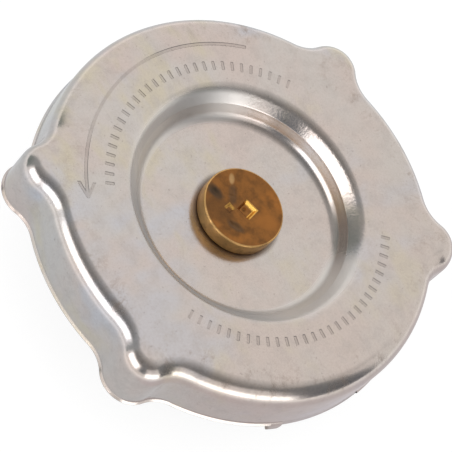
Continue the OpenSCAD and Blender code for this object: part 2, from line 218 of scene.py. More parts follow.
# %% [markdown]
# ## The sheet's section
# The section runs from the rivet's hole over the dish floor, up the dish wall, across the flat top, over
# the shoulder and down the skirt, round its edge, and back along the inside. At two places the edge turns
# in as a tang that grips the filler neck, with a small stop nib at one end. A sheet with thickness could
# come from a modifier, but a closed section lets the edge and the tangs have their own form.

# %% Lower edge
TANG_ROUND = 0.15


def edge_rows():
    """Insets and heights of the skirt's edge, plain and at a tang, with as many rows each."""
    q = np.linspace(0, 1, 5)
    b = np.radians(np.linspace(195, 345, 5))
    flare = np.stack([LIP_IN - (LIP_IN + LIP_OUT) * q, EDGE_H + (LIP_H - EDGE_H) * (1 - q)], 1)
    roll = np.stack([SHEET / 2 - LIP_OUT + SHEET / 2 * np.cos(b), EDGE_H + EDGE_H * np.sin(b)], 1)
    plain = np.concatenate([flare, roll, [[SHEET - LIP_OUT * 0.4, EDGE_H + 0.3], [SHEET, TANG_BEND_R]]])
    a = np.radians(np.linspace(0, 90, 6))
    bend = np.stack([TANG_BEND_R * (1 - np.cos(a)), TANG_BEND_R * (1 - np.sin(a))], 1)
    tip = [[TANG_REACH - TANG_ROUND, 0], [TANG_REACH, TANG_ROUND],
           [TANG_REACH, SHEET - TANG_ROUND], [TANG_REACH - TANG_ROUND, SHEET]]
    inner = SHEET + 0.29 * (TANG_BEND_R - SHEET)  # about the middle of the inner bend
    tang = np.concatenate([bend, tip, [[TANG_BEND_R, SHEET], [inner, inner]]])
    return plain, tang


plain_edge, tang_edge = edge_rows()
print("edge rows", len(plain_edge), len(tang_edge))

# %% Edge at every station
def edge_at(stations):
    """Insets and heights of the edge at each station: plain, turned in at a tang, or longer at a stop nib."""
    a = np.radians(stations[:, 4])
    x, y = stations[:, 0] + stations[:, 2] * np.cos(a), stations[:, 1] + stations[:, 2] * np.sin(a)
    near = (np.degrees(np.arctan2(y, x)) + 90) % 180 - 90
    on_tang = np.abs(near) < TANG_A + 0.5 * EDGE_A
    on_nib = (near > -TANG_A - nib_a - 0.5 * EDGE_A) & (near < -TANG_A - 0.5 * EDGE_A)
    tang, nib = on_tang.astype(float)[:, None], on_nib.astype(float)[:, None]
    plain_x, plain_z = plain_edge.T
    tang_x, tang_z = tang_edge.T
    drop = NIB_DROP * smooth(0.6, 0.0, plain_z) * nib
    edge_x = plain_x * (1 - tang) + tang_x * tang
    edge_z = (plain_z - drop) * (1 - tang) + (tang_z - TANG_DROP) * tang - SHELL_H
    return edge_x, edge_z


print("edge, stations and rows", edge_at(outline)[0].shape)

# %% Rows of dish, shoulder and skirt
def dish_rows(back):
    """Radii and heights from the hole to the dish's rim, for the face (back 0) or the inside (back 1)."""
    rim, foot, low = DISH_RIM_R - back * SHEET, FOOT_R - back * SHEET, DISH_FLOOR_R + back * SHEET
    few = 1 - 0.5 * back
    a = np.linspace(0, foot_a, int(12 * few))
    b = np.linspace(foot_a, wall_a, int(6 * few))
    c = np.linspace(wall_a, 0, int(12 * few))
    floor = np.linspace(HOLE_R, floor_r, int(8 * few), endpoint=False)
    low_z = DISH_FLOOR_R - DISH_DEPTH
    r = [floor, floor_r + low * np.sin(a), bend_x - foot * np.sin(b), DISH_R - rim * np.sin(c)]
    z = [0 * floor + low_z - low, low_z - low * np.cos(a), bend_z + foot * np.cos(b),
         rim * np.cos(c) - DISH_RIM_R]
    return np.concatenate(r), np.concatenate(z)


def shoulder_rows():
    """Quarter circle from the flat top to the skirt, as insets and heights."""
    a = np.radians(np.linspace(0, 90, 16))
    return SHOULDER_R * (1 - np.sin(a)), SHOULDER_R * (np.cos(a) - 1)


def skirt_rows():
    """The skirt down to its lip; the inset grows with the square of the way down, as a slight waist."""
    t = np.array([0.2, 0.4, 0.6, 0.8, 0.93, 0.985])
    return LIP_IN * t ** 2, -SHOULDER_R + (LIP_H - SHELL_H + SHOULDER_R) * t


def inside_rows():
    """Quarter circle inside the shoulder, from the skirt back to the flat."""
    b = np.radians(np.linspace(90, 0, 8))
    r = SHOULDER_R - SHEET
    return SHOULDER_R - r * np.sin(b), r * np.cos(b) - SHOULDER_R


print("dish rows", len(dish_rows(0)[0]), "outside and", len(dish_rows(1)[0]), "inside")

# %% Shell surface
FLAT_ROWS, FLAT_BACK_ROWS = 52, 8
# waves of the sheet: height, radians a millimetre along x and y, start
WAVES = ((0.010, 0.31, 0.17, 0.4), (0.008, -0.22, 0.41, 1.9), (0.006, 0.57, -0.36, 2.7))


def press_waves(x, y):
    """Sum of long, low sine waves, the slight unevenness of pressed sheet, never above the true surface."""
    return sum(h * (np.sin(along_x * x + along_y * y + start) - 1) for h, along_x, along_y, start in WAVES)


def shell_points():
    """Joins the rows of the section at every station into one closed grid. Dish and flat run out along the
    line from the axis to the station's shoulder, and the other rows are insets of the outline."""
    one = np.ones((len(outline), 1))
    sx, sy = inset(outline, one * SHOULDER_R)
    away = np.hypot(sx, sy)
    ux, uy = sx / away, sy / away
    r0, z0 = dish_rows(0)
    r1, z1 = (rows[::-1] for rows in dish_rows(1))
    outward = np.linspace(0, 1, FLAT_ROWS)[1:-1]
    inward = np.linspace(1, 0, FLAT_BACK_ROWS)[1:-1]
    flat_r = DISH_R + (away - DISH_R) * outward
    back_r = DISH_R + (away - DISH_R) * inward
    bands = [(r0 * ux, r0 * uy, one * z0), (flat_r * ux, flat_r * uy, 0 * flat_r)]
    for x, z in (shoulder_rows(), skirt_rows(), edge_at(outline), inside_rows()):
        px, py = inset(outline, one * x)
        bands.append((px, py, one * z))
    bands += [(back_r * ux, back_r * uy, 0 * back_r - SHEET), (r1 * ux, r1 * uy, one * z1)]
    x, y, z = (np.concatenate([band[k] for band in bands], axis=1) for k in range(3))
    waved = np.zeros(x.shape[1])
    waved[:r0.size] = 1
    waved[r0.size:r0.size + outward.size] = smooth(1.0, 0.7, outward)
    z = z + waved * press_waves(x, y) * smooth(HOLE_R + 4, HOLE_R + 8, np.hypot(x, y))
    return np.stack([x, y, z + TOP], axis=-1)


shell = grid_piece("shell_skin", shell_points(), "shell_body", "shell", rows_closed=True)

# %% [markdown]
# ## The rivet
# A turned brass head with a small bevel, a shank and a rolled end. The head was staked with a square
# punch, which left a pocket and some dents. They could be cut with booleans, but the head's face gets many
# rows, so the marks can be pressed into it as a change of height.

# %% Punch marks
# square pockets: place x and y, angle, half width, depth, softness
POCKETS = ((0.47, 0.32, 20, 0.98, 0.50, 0.27), (-0.6, -2.3, 104, 0.50, 0.24, 0.20))
# oval dents: place x and y, angle, half length, half width, depth; a negative depth is a bump
DENTS = ((-4.65, 0.55, 148, 1.0, 0.42, 0.17), (-2.7, 0.0, 148, 1.1, 0.20, 0.11),
         (-3.9, -3.2, 17, 1.25, 0.62, 0.27), (-2.3, -1.0, 60, 0.9, 0.25, 0.10),
         (2.3, -2.8, 215, 1.1, 0.42, 0.13), (1.5, -3.3, 190, 0.6, 0.25, 0.10),
         (0.2, 0.1, 100, 0.32, 0.32, -0.22))
BELL = 1.5  # how fast an oval dent fades


def turned_place(x, y, centre, angle):
    """Distances from a centre along two axes turned by an angle in degrees."""
    c, s = np.cos(np.radians(angle)), np.sin(np.radians(angle))
    dx, dy = x - centre[0], y - centre[1]
    return dx * c + dy * s, dy * c - dx * s


def pocket(x, y, px, py, angle, half_w, depth, soft):
    """A square dent: the larger of the two distances along the turned axes, sloped about the half width."""
    u, v = turned_place(x, y, (px, py), angle)
    return -depth * smooth(half_w + soft, half_w - soft, np.maximum(np.abs(u), np.abs(v)))


def dimple(x, y, px, py, angle, half_l, half_w, depth):
    """An oval dent: depth times a bell of the scaled distance."""
    u, v = turned_place(x, y, (px, py), angle)
    return -depth * np.exp(-((u / half_l) ** 2 + (v / half_w) ** 2) * BELL)


print("pockets", len(POCKETS), "dents", len(DENTS))

# %% Rivet
HEAD_R, HEAD_LOW, HEAD_HIGH, HEAD_BEVEL = 6.35, 0.77, 3.42, 0.25
SHANK_R, CLINCH_R, WASHER_LOW, RIVET_END = 2.8, 4.3, -2.12, -2.92
MIDDLE_R = 0.02  # the two closing faces at the axis are this small
FACE_ROWS, RIVET_STATIONS = 110, 300


def rivet_points():
    """Section of the rivet revolved, with the head's face pressed in by the punch marks."""
    a = np.radians(np.linspace(90, 0, 6))
    face = np.linspace(MIDDLE_R, HEAD_R - HEAD_BEVEL, FACE_ROWS)
    top = np.stack([face, 0 * face + HEAD_HIGH], 1)
    bevel = np.stack([HEAD_R + HEAD_BEVEL * (np.cos(a) - 1), HEAD_HIGH + HEAD_BEVEL * (np.sin(a) - 1)], 1)
    side = [[HEAD_R, 2.4], [HEAD_R, 1.6], [HEAD_R, HEAD_LOW + 0.15], [HEAD_R - 0.12, HEAD_LOW]]
    shank = [[SHANK_R, HEAD_LOW], [SHANK_R, -0.5], [SHANK_R, WASHER_LOW]]
    clinch = [[CLINCH_R - 0.25, WASHER_LOW], [CLINCH_R, WASHER_LOW - 0.25], [CLINCH_R - 0.25, RIVET_END]]
    hollow = [[SHANK_R - 0.4, RIVET_END], [SHANK_R - 1.4, RIVET_END + 1.6], [MIDDLE_R, RIVET_END + 2.0]]
    rows = np.concatenate([top, bevel, side, shank, clinch, hollow])
    p = turned(rows[::-1], RIVET_STATIONS)
    x, y = p[..., 0], p[..., 1]
    on_face = (p[..., 2] > HEAD_HIGH - 0.01).astype(float)
    pressed = sum(pocket(x, y, *one) for one in POCKETS) + sum(dimple(x, y, *one) for one in DENTS)
    p[..., 2] += on_face * pressed
    return p


rivet = grid_piece("rivet_skin", rivet_points(), "seal_stack", "centre_rivet", capped=True)

# %% [markdown]
# ## Springs
# A coil spring is a round wire carried along a helix. The end turns lie close and are ground flat, so the
# rise per turn changes near both ends and the lowest and highest points are clipped level. A screw modifier
# makes an even helix only, so the wire is worked out here.

# %% Coil springs
DISC_LOW, BRIM_TOP, CROWN_TOP = -0.82, -16.97, -11.52
COIL_R, WIRE, COIL_TURNS = 12.2, 1.9, 5.5
SMALL_R, SMALL_WIRE, SMALL_TURNS, SMALL_H = 2.45, 0.4, 3.0, 3.0
GROUND, CLOSE_PITCH = 0.24, 1.04  # height of the wire's end and rise of the end turns, in wires
coil_h = DISC_LOW - BRIM_TOP


def coil_points(radius, wire, low_z, height, turns, per_turn, sides):
    """Wire circle at each station of a helix whose height is piecewise straight in the turn number."""
    count = int(round(turns * per_turn)) + 1
    u = np.linspace(0, turns, count)
    low, pitch = GROUND * wire, CLOSE_PITCH * wire
    z = np.interp(u, [0, 1, turns - 1, turns], [low, low + pitch, height - low - pitch, height - low])
    b = np.radians((np.arange(sides) + 0.5) * 360 / sides)[:, None]
    r = radius + wire / 2 * np.cos(b)
    h = np.clip(z + wire / 2 * np.sin(b), 0, height)
    a = 2 * np.pi * u
    return np.stack([r * np.cos(a), r * np.sin(a), h + low_z], axis=-1)


spring = grid_piece("pressure_coil", coil_points(COIL_R, WIRE, BRIM_TOP, coil_h, COIL_TURNS, 56, 16),
                    "seal_stack", "pressure_spring", capped=True)
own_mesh(spring)
small = grid_piece("vacuum_coil", coil_points(SMALL_R, SMALL_WIRE, CROWN_TOP, SMALL_H, SMALL_TURNS, 40, 12),
                   "pressure_valve", "vacuum_spring", capped=True)
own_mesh(small)

# %% [markdown]
# ## Turned pieces under the shell
# The spring disc, the two rubber rings and the brass vacuum valve are bodies of revolution. Their packed
# sections are repeated with small rounded corners, which catch the light as real edges do. A bevel modifier
# would round them too, but evenly, while here each section has its own radius.

# %% Spring disc and rubber rings
DRUM_R = 17.65  # outside of the pressed dish under the shell
SEAL_T, SEAL_R, SEAL_GAP = 1.6, 25.0, 1.1
DISC_T, DISC_R, DISC_TOP, DISC_RISE = 0.45, 25.4, -0.37, 2.42
BRIM_R, BRIM_LOW, GASKET_R, LAND_R, BORE_R = 16.4, -17.77, 17.5, 12.5, 7.7
HOOK_R, HOOK_T = 14.9, 0.8
LAND_Z, SEAT_Z = -19.87, -19.07
disc_in, disc_out = DRUM_R - 1.0, DRUM_R + 1.7
shift = DISC_T * np.tan(np.arctan2(DISC_RISE, disc_out - disc_in) / 2)
disc_section = rounded([(HOLE_R, DISC_LOW), (disc_in + shift, DISC_LOW), (disc_out + shift, SEAL_T),
                        (DISC_R, SEAL_T), (DISC_R, SEAL_T + DISC_T), (disc_out, SEAL_T + DISC_T),
                        (disc_in, DISC_TOP), (HOLE_R, DISC_TOP)], 0.2)
seal_in = disc_out + shift + SEAL_GAP
seal_section = rounded([(seal_in, 0.0), (SEAL_R, 0.0), (SEAL_R, SEAL_T), (seal_in, SEAL_T)], 0.22)
gasket_section = rounded([(BORE_R, SEAT_Z), (LAND_R, SEAT_Z), (LAND_R, LAND_Z), (GASKET_R, LAND_Z),
                          (GASKET_R, BRIM_TOP + HOOK_T), (HOOK_R, BRIM_TOP + HOOK_T), (HOOK_R, BRIM_TOP),
                          (BRIM_R, BRIM_TOP), (BRIM_R, BRIM_LOW), (BORE_R, BRIM_LOW)], 0.25)
disc = grid_piece("disc_skin", turned(disc_section), "seal_stack", "spring_disc",
                  rows_closed=True)
seal = grid_piece("neck_ring", turned(seal_section), "seal_stack", "neck_seal",
                  rows_closed=True)
gasket = grid_piece("valve_ring", turned(gasket_section), "pressure_valve", "valve_gasket",
                    rows_closed=True)

# %% Vacuum valve
VALVE_R, VALVE_T, STEM_R, STEM_HEAD_R = 10.2, 0.7, 1.5, 2.1
KEEPER_T = 0.5


def vacuum_section():
    """Underside with a shallow turned recess, bevelled edge, seat face, stem and headed end."""
    r = np.linspace(0.05, VALVE_R - 0.3, 40)
    under = SEAT_Z - VALVE_T + 0.18 * smooth(8.4, 7.6, r) - 0.12 * smooth(2.2, 1.6, r)
    end = CROWN_TOP + SMALL_H + KEEPER_T
    edge = [(VALVE_R - 0.1, SEAT_Z - 0.6), (VALVE_R, SEAT_Z - 0.4), (VALVE_R, SEAT_Z - 0.08),
            (VALVE_R - 0.1, SEAT_Z)]
    stem = [(2.5, SEAT_Z), (1.6, SEAT_Z + 0.6), (STEM_R, SEAT_Z + 1.0), (STEM_R, end)]
    head = [(STEM_HEAD_R, end), (STEM_HEAD_R, end + 0.1), (1.8, end + 0.42), (1.3, end + 0.5),
            (0.05, end + 0.5)]
    return np.concatenate([np.stack([r, under], 1), edge, stem, head])


vacuum = grid_piece("vacuum_skin", turned(vacuum_section()), "vacuum_body", "vacuum_valve",
                    capped=True)

# %% [markdown]
# ## Shader sums
# A finish mixes noises and masks. Written as nodes by hand, every sum is a box with wires. The class below
# holds a socket and answers to plus, minus, times and so on by adding the Math node, so that a finish reads
# like the sum it is.

# %% Wire
class Wire:
    """A socket in a finish's node tree, usable in Python sums."""
    def __init__(self, finish, socket):
        self.finish = finish
        self.socket = socket

    def math(self, operation, a, b=0.0):
        """Adds a Math node on two wires or numbers."""
        return self.finish.node("ShaderNodeMath", {"operation": operation}, {0: a, 1: b})

    def __add__(self, other):
        return self.math("ADD", self, other)

    def __radd__(self, other):
        return self.math("ADD", other, self)

    def __sub__(self, other):
        return self.math("SUBTRACT", self, other)

    def __rsub__(self, other):
        return self.math("SUBTRACT", other, self)

    def __mul__(self, other):
        return self.math("MULTIPLY", self, other)

    def __rmul__(self, other):
        return self.math("MULTIPLY", other, self)

    def __truediv__(self, other):
        return self.math("DIVIDE", self, other)

    def __pow__(self, other):
        return self.math("POWER", self, other)

    def __abs__(self):
        return self.math("ABSOLUTE", self)

    def above(self, other):
        """The larger of two wires."""
        return self.math("MAXIMUM", self, other)

    def step(self, low, high):
        """0 below low, 1 above high, smooth between."""
        return self.finish.node("ShaderNodeMapRange", {"interpolation_type": "SMOOTHSTEP"},
                                {"Value": self, "From Min": low, "From Max": high})


print("a wire answers to", [key for key, value in vars(Wire).items() if callable(value)])

# %% [markdown]
# ## A finish
# A finish owns one node tree, of a material or of the world. One method makes every kind of node. Places
# are read from Object coordinates, so a pattern stays on its piece when the piece moves.

# %% Finish
def full(value):
    """A plain colour with its fourth number; wires and numbers are left as they are."""
    return (*value, 1) if isinstance(value, tuple) and len(value) == 3 else value


class Finish:
    """A procedural node tree, of a new material or of another owner such as the world."""
    def __init__(self, name, owner=None):
        self.owner = owner or bpy.data.materials.new(name)
        self.owner.use_nodes = True
        self.tree = self.owner.node_tree
        self.tree.nodes.clear()
        self.place = self.node("ShaderNodeTexCoord", out="Object")

    def node(self, kind, settings=None, inputs=None, out=0):
        """Adds a node: settings first, then values or wires for its inputs; returns one output's wire."""
        n = self.tree.nodes.new(kind)
        for key, value in (settings or {}).items():
            if key == "stops":
                ramp = n.color_ramp
                for i, (at, colour) in enumerate(value):
                    stop = ramp.elements[i] if i < 2 else ramp.elements.new(at)
                    stop.position = at
                    stop.color = full(colour)
            else:
                setattr(n, key, value)
        for key, value in (inputs or {}).items():
            if isinstance(value, Wire):
                self.tree.links.new(value.socket, n.inputs[key])
            else:
                n.inputs[key].default_value = value
        return Wire(self, n.outputs[out]) if len(n.outputs) else None

    def noise(self, scale, detail=3.0, rough=0.55, stretch=(1, 1, 1), twist=0.0):
        """Noise of that many waves a metre, from 0 to 1, stretched along the axes."""
        at = self.node("ShaderNodeMapping", None,
                       {"Vector": self.place, "Scale": stretch, "Rotation": (0, 0, twist)})
        return self.node("ShaderNodeTexNoise", None,
                         {"Vector": at, "Scale": scale, "Detail": detail, "Roughness": rough})

    def blend(self, factor, a, b):
        """Colour a where factor is 0 and b where it is 1."""
        return self.node("ShaderNodeMix", {"data_type": "RGBA"}, {0: factor, 6: full(a), 7: full(b)}, out=2)

    def part(self, axis):
        """One Object coordinate in metres."""
        return self.node("ShaderNodeSeparateXYZ", None, {"Vector": self.place}, out=axis)

    def radius(self):
        """Distance from the cap's axis in metres."""
        return (self.part("X") * self.part("X") + self.part("Y") * self.part("Y")) ** 0.5

    def surface(self, bump=None, **sockets):
        """Principled surface; a wire is linked and a plain number or colour is set on the socket. A bump is a
        height and the depth in metres that one unit of it stands for."""
        inputs = {}
        for key, value in sockets.items():
            inputs[key.replace("_", " ").title().replace("Ior", "IOR")] = full(value)
        if bump:
            height, depth = bump
            inputs["Normal"] = self.node("ShaderNodeBump", None,
                                         {"Height": height, "Strength": 1.0, "Distance": depth}, out="Normal")
        shader = self.node("ShaderNodeBsdfPrincipled", None, inputs)
        self.node("ShaderNodeOutputMaterial", None, {"Surface": shader})
        print(self.owner.name, "nodes", len(self.tree.nodes))
        return self.owner


def dress(piece, material):
    """Gives a piece one material."""
    piece.data.materials.clear()
    piece.data.materials.append(material)


print("a finish offers", [key for key, value in vars(Finish).items() if callable(value)])

# %% [markdown]
# ## Masks on the shell
# A finish changes with the place on the cap: a ring, a stretch of the turn, a range of heights. Each mask is
# a sum that gives 1 on its place and 0 off it, with a soft edge. Painting them on a texture would tie them
# to one unwrap, and these follow the sizes.

# %% Masks
def band(value, low, high, soft):
    """1 where the value lies between low and high, with soft edges."""
    return value.step(low - soft, low + soft) * (1.0 - value.step(high - soft, high + soft))


def turn_from(f, start=0.0):
    """Angle about the cap's axis in radians, counted both ways from a start in degrees."""
    c, s = np.cos(np.radians(start)), np.sin(np.radians(start))
    x, y = f.part("X"), f.part("Y")
    across = c * y - s * x
    return across.math("ARCTAN2", across, c * x + s * y)


def turn_band(f, middle, low, high, soft):
    """1 over a stretch of the turn, from low to high degrees off the middle."""
    return band(turn_from(f, middle), np.radians(low), np.radians(high), np.radians(soft))


def above_depth(f, low, high):
    """0 deeper than low millimetres under the flat top, 1 from high upwards."""
    return f.part("Z").step((TOP - low) * MM, (TOP - high) * MM)

# %% [markdown]
# ## Stamped marks
# The flat carries plain marks that a press would stamp: two rows of short strokes for the fingers, and a
# curved arrow along the way that the cap turns. They are a tenth of a millimetre deep, so they are a bump
# in the finish and not geometry.

# %% Strokes and arrow
ARROW = {"start": 200.0, "half": 50.0, "r": 25.6}
STROKES = ({"start": 188.0, "half": 56.0}, {"start": 0.0, "half": 56.0})
STROKE_PITCH, STROKE_LOW, STROKE_HIGH = 4.0, 21.3, 22.7


def strokes(f, start, half):
    """Short radial strokes at an even pitch in degrees, up to half degrees either side of the start."""
    turn = turn_from(f, start)
    half_pitch = np.radians(STROKE_PITCH / 2)
    beat = turn.math("PINGPONG", abs(turn) + half_pitch, half_pitch)
    away = (half_pitch - beat) * f.radius() / MM
    limit = np.radians(half + STROKE_PITCH / 4)
    ring = band(f.radius() / MM, STROKE_LOW, STROKE_HIGH, 0.09)
    return (1.0 - away.step(0.13, 0.29)) * ring * band(turn, -limit, limit, 0.001)


def arrow(f, start, half, r):
    """A curved arrow along the radius r, which ends half degrees either side of the start."""
    along = turn_from(f, start) * r
    off = abs(f.radius() / MM - r)
    tip = np.radians(half) * r
    shaft = (1.0 - off.step(0.16, 0.32)) * band(along, -tip, tip, 0.08)
    barb = abs(off - (tip - along) * 0.5)
    head = (1.0 - barb.step(0.16, 0.34)) * band(along, tip - 2.4, tip + 0.1, 0.08)
    return shaft.above(head)


def stamped(f):
    """All marks together, on the flat only."""
    marks = arrow(f, **ARROW)
    for row in STROKES:
        marks = marks.above(strokes(f, **row))
    return marks * above_depth(f, 0.6, 0.3)


print("rows of strokes", len(STROKES), "arrow at radius", ARROW["r"])

# %% [markdown]
# ## Plated steel
# The shell is bright zinc: a pale metal that leans pink, with patches of faint yellow and blue, a fine grain
# from the rolled sheet, and brown smudges where hands and other parts rubbed the shoulder. One even grey
# would look like plastic, so slow noises mix the tints and quick ones the grain.

# %% Zinc tints
PALE, PINK = (0.582, 0.552, 0.530), (0.606, 0.523, 0.488)
BLUE, STRAW = (0.538, 0.550, 0.604), (0.600, 0.546, 0.430)
BROWN, GREY = (0.560, 0.497, 0.450), (0.44, 0.402, 0.380)
VIEW_RIGHT = (0.94, 0.34)  # direction across the cap, from left to right as the camera sees it


def lean(f, low, high):
    """Rises from 0 to 1 between two distances in metres to the right of the axis."""
    return (VIEW_RIGHT[0] * f.part("X") + VIEW_RIGHT[1] * f.part("Y")).step(low, high)


def zinc_tints(f, warm, mottle):
    """Pink by a slow noise, patches of blue and straw, browner to the right, and a grey mottle."""
    cool = f.noise(60, 3, 0.6, (1.3, 0.8, 1), 0.7)
    straw = f.noise(90, 3, 0.6, (0.8, 1.4, 1), 2.1)
    base = f.blend(warm.step(0.36, 0.66), PALE, PINK)
    base = f.blend(cool.step(0.52, 0.68) * 0.85, base, BLUE)
    base = f.blend(straw.step(0.52, 0.70) * 0.85, base, STRAW)
    base = f.blend(lean(f, -0.026, 0.026) * 0.45, base, BROWN)
    return f.blend(mottle.step(0.42, 0.72) * 0.42, base, GREY)


print("zinc tints", PALE, PINK, BLUE, STRAW, BROWN, GREY)

# %% Smudges, soiling and painted shade
SMUDGE, DUST = (0.330, 0.268, 0.232), (0.36, 0.315, 0.29)
SPECK, GRIME_AND_SHADE = (0.22, 0.19, 0.175), (0.10, 0.065, 0.040)
NIB_STAIN, GREASE = (0.24, 0.17, 0.12), (0.26, 0.225, 0.205)


def smudges(f, shoulder):
    """Blotches that are long round the cap and short across it, on the shoulder, with clean stretches."""
    at = f.node("ShaderNodeCombineXYZ", None,
                {"X": turn_from(f) * 15.0, "Y": f.radius() * 330.0, "Z": f.part("Z") * 90.0})
    streak = f.node("ShaderNodeTexNoise", None,
                    {"Vector": at, "Scale": 1.0, "Detail": 8.0, "Roughness": 0.76})
    stretch = 0.35 + 0.65 * f.noise(55, 2, 0.5).step(0.42, 0.60)
    return streak.step(0.49, 0.70) * shoulder * stretch


def dirt_and_shade(f, base, rub, grime_and_shade, marks, mottle):
    """Smudges, dust, specks, soiling and painted shade in a ring round the rivet's foot, the stained nib and
    grease in the marks.
    """
    base = f.blend(rub * 0.72, base, SMUDGE)
    base = f.blend(f.noise(2800, 3, 0.7).step(0.35, 0.75) * 0.16, base, DUST)
    base = f.blend(f.noise(1900, 2, 0.5).step(0.68, 0.75) * 0.3, base, SPECK)
    # painted shade: a near black ring on the dish floor round the rivet's foot, together with soiling there
    base = f.blend(grime_and_shade * 0.75, base, GRIME_AND_SHADE)
    nib = 1.0 - above_depth(f, SHELL_H + 0.9, SHELL_H + 0.2)
    base = f.blend(nib * 0.6, base, NIB_STAIN)
    return f.blend(marks * (0.16 + 0.30 * mottle), base, GREASE)


print("dirt_and_shade", SMUDGE, DUST, SPECK, GRIME_AND_SHADE, NIB_STAIN, GREASE)

# %% Dish wall: painted sheen and shade, dull foot and peel
# the first colour lightens most of the dish wall as painted sheen, the second greys its nearest stretch as
# painted shade
PAINTED_SHEEN, SHADE_GREY = (0.77, 0.755, 0.735), (0.40, 0.39, 0.38)


def wall_masks(f):
    """The wall's dull foot, the side painted lighter as painted sheen, the nearest stretch painted grey and
    less metallic as painted shade, and the far side's peel, which drawing the sheet leaves."""
    r = f.radius() / MM
    foot = band(r, floor_r, bend_x + 0.1, 0.3) * (1.0 - above_depth(f, 2.6, 2.1))
    # painted sheen on all but the far side of the wall, and painted shade on its nearest stretch
    pale = band(r, floor_r + 1.1, DISH_R - 0.4, 0.7) * (1.0 - above_depth(f, 1.0, 0.05))
    pale = pale * turn_band(f, -85.0, -125, 127, 13)
    near_shade = pale * turn_band(f, -70.0, -52, 52, 16)
    peel = band(r, bend_x - 0.8, DISH_R - 0.8, 0.5) * (1.0 - above_depth(f, 0.8, 0.2)) * (1.0 - pale)
    return foot, pale, near_shade, peel


print("wall_sheen_and_shade", PAINTED_SHEEN, SHADE_GREY)

# %% Plated steel
GRAIN_DEPTH = 0.0000055  # metres, as all depths of a bump
SHOULDER_FROM, SHOULDER_FULL = 0.0235, 0.0285  # radii in metres
GRIME_SHADE_FULL, GRIME_SHADE_END = 0.0064, 0.0074


def plated_steel():
    """Tints, soiling, painted shade and painted sheen over one metal; rougher where it is soiled or smudged
    and on the lighter wall.
    """
    f = Finish("plated_steel")
    warm, mottle = f.noise(75, 3, 0.6), f.noise(420, 6, 0.72)
    shoulder = f.radius().step(SHOULDER_FROM, SHOULDER_FULL) * above_depth(f, 2.2, 1.0)
    rub, marks = smudges(f, shoulder), stamped(f)
    # ring just outside the rivet's head: soiling and painted shade, and rougher there
    grime_and_shade = 1.0 - f.radius().step(GRIME_SHADE_FULL, GRIME_SHADE_END)
    foot, pale, near_shade, peel = wall_masks(f)
    base = dirt_and_shade(f, zinc_tints(f, warm, mottle), rub, grime_and_shade, marks, mottle)
    # painted sheen lightens the dish wall, and painted shade greys its nearest stretch
    base = f.blend(near_shade, f.blend(pale * 0.9, base, PAINTED_SHEEN), SHADE_GREY)
    rough = 0.115 + 0.06 * warm + 0.05 * mottle + 0.12 * rub + 0.2 * grime_and_shade + 0.03 * shoulder
    rough = rough + 0.05 * foot + 0.24 * pale + 0.05 * peel
    grain = f.noise(5200, 3, 0.6) + 0.6 * f.noise(1500, 3, 0.6, (1, 3, 1), 0.5) - 15.0 * marks
    height = grain * (1.0 - 0.8 * foot) + 5.0 * peel * f.noise(2300, 2, 0.5)
    # less metallic where the painted shade greys the dish wall's nearest stretch
    return f.surface(base_color=base, metallic=1.0 - 0.85 * near_shade, roughness=rough, bump=(height, GRAIN_DEPTH))


dress(shell, plated_steel())

# %% [markdown]
# ## Brass
# The rivet is brass gone brown on its face, with stains round the punch marks, a gold painted highlight on
# the far walls of each pocket and on one dent, and brighter metal on the side wall, where it is rubbed. Each
# stain and the dent's highlight is an oval at its place on the head, which a general noise can't give.

# %% Stains, painted highlights and pocket corners
# stains and one painted highlight: place x and y, angle, half length, half width, colour, strength
STAINS_AND_HIGHLIGHT = ((-3.8, -3.1, 17, 2.1, 1.1, (0.060, 0.048, 0.036), 0.85),
          (2.2, -2.9, 35, 1.9, 0.9, (0.080, 0.058, 0.038), 0.75),
          (-2.4, -0.6, 148, 2.2, 0.9, (0.085, 0.058, 0.038), 0.60),
          # painted highlight: a light gold oval on the dent at this place
          (-4.65, 0.55, 148, 1.1, 0.55, (0.50, 0.31, 0.14), 0.85),
          (3.2, 2.2, 60, 2.6, 1.6, (0.37, 0.150, 0.040), 0.60),
          (-1.8, -4.2, 17, 5.0, 2.4, (0.120, 0.062, 0.028), 0.55))


def oval(f, x, y, angle, half_l, half_w):
    """1 in the middle of an oval patch and 0 beyond its edge."""
    u, v = turned_place(f.part("X") / MM, f.part("Y") / MM, (x, y), angle)
    u, v = u / half_l, v / half_w
    return 1.0 - (u * u + v * v).step(0.1, 1.0)


def corner(f, x, y, angle, half_w, soft):
    """1 on the two far walls of a square pocket, which meet in a corner; there a painted highlight goes."""
    u, v = turned_place(f.part("X") / MM, f.part("Y") / MM, (x, y), angle)
    far, near = u.above(v), u.math("MINIMUM", u, v)
    return band(far, half_w - soft, half_w + soft, 0.06) * near.step(-half_w - soft, -half_w + soft)


print("stains", len(STAINS_AND_HIGHLIGHT))

# %% Brass
FACE_BROWN, FACE_DARK, FACE_RED = (0.270, 0.116, 0.035), (0.165, 0.076, 0.028), (0.400, 0.160, 0.040)
HIGHLIGHT_GOLD, SIDE_BRIGHT, SIDE_DARK = (0.92, 0.53, 0.125), (0.74, 0.45, 0.175), (0.46, 0.275, 0.115)
SIDE_FROM, SIDE_FULL = 0.00606, 0.00622  # radii in metres between face and side wall
SCRATCH_DEPTH, RING_DEPTH = 0.000016, 0.00001


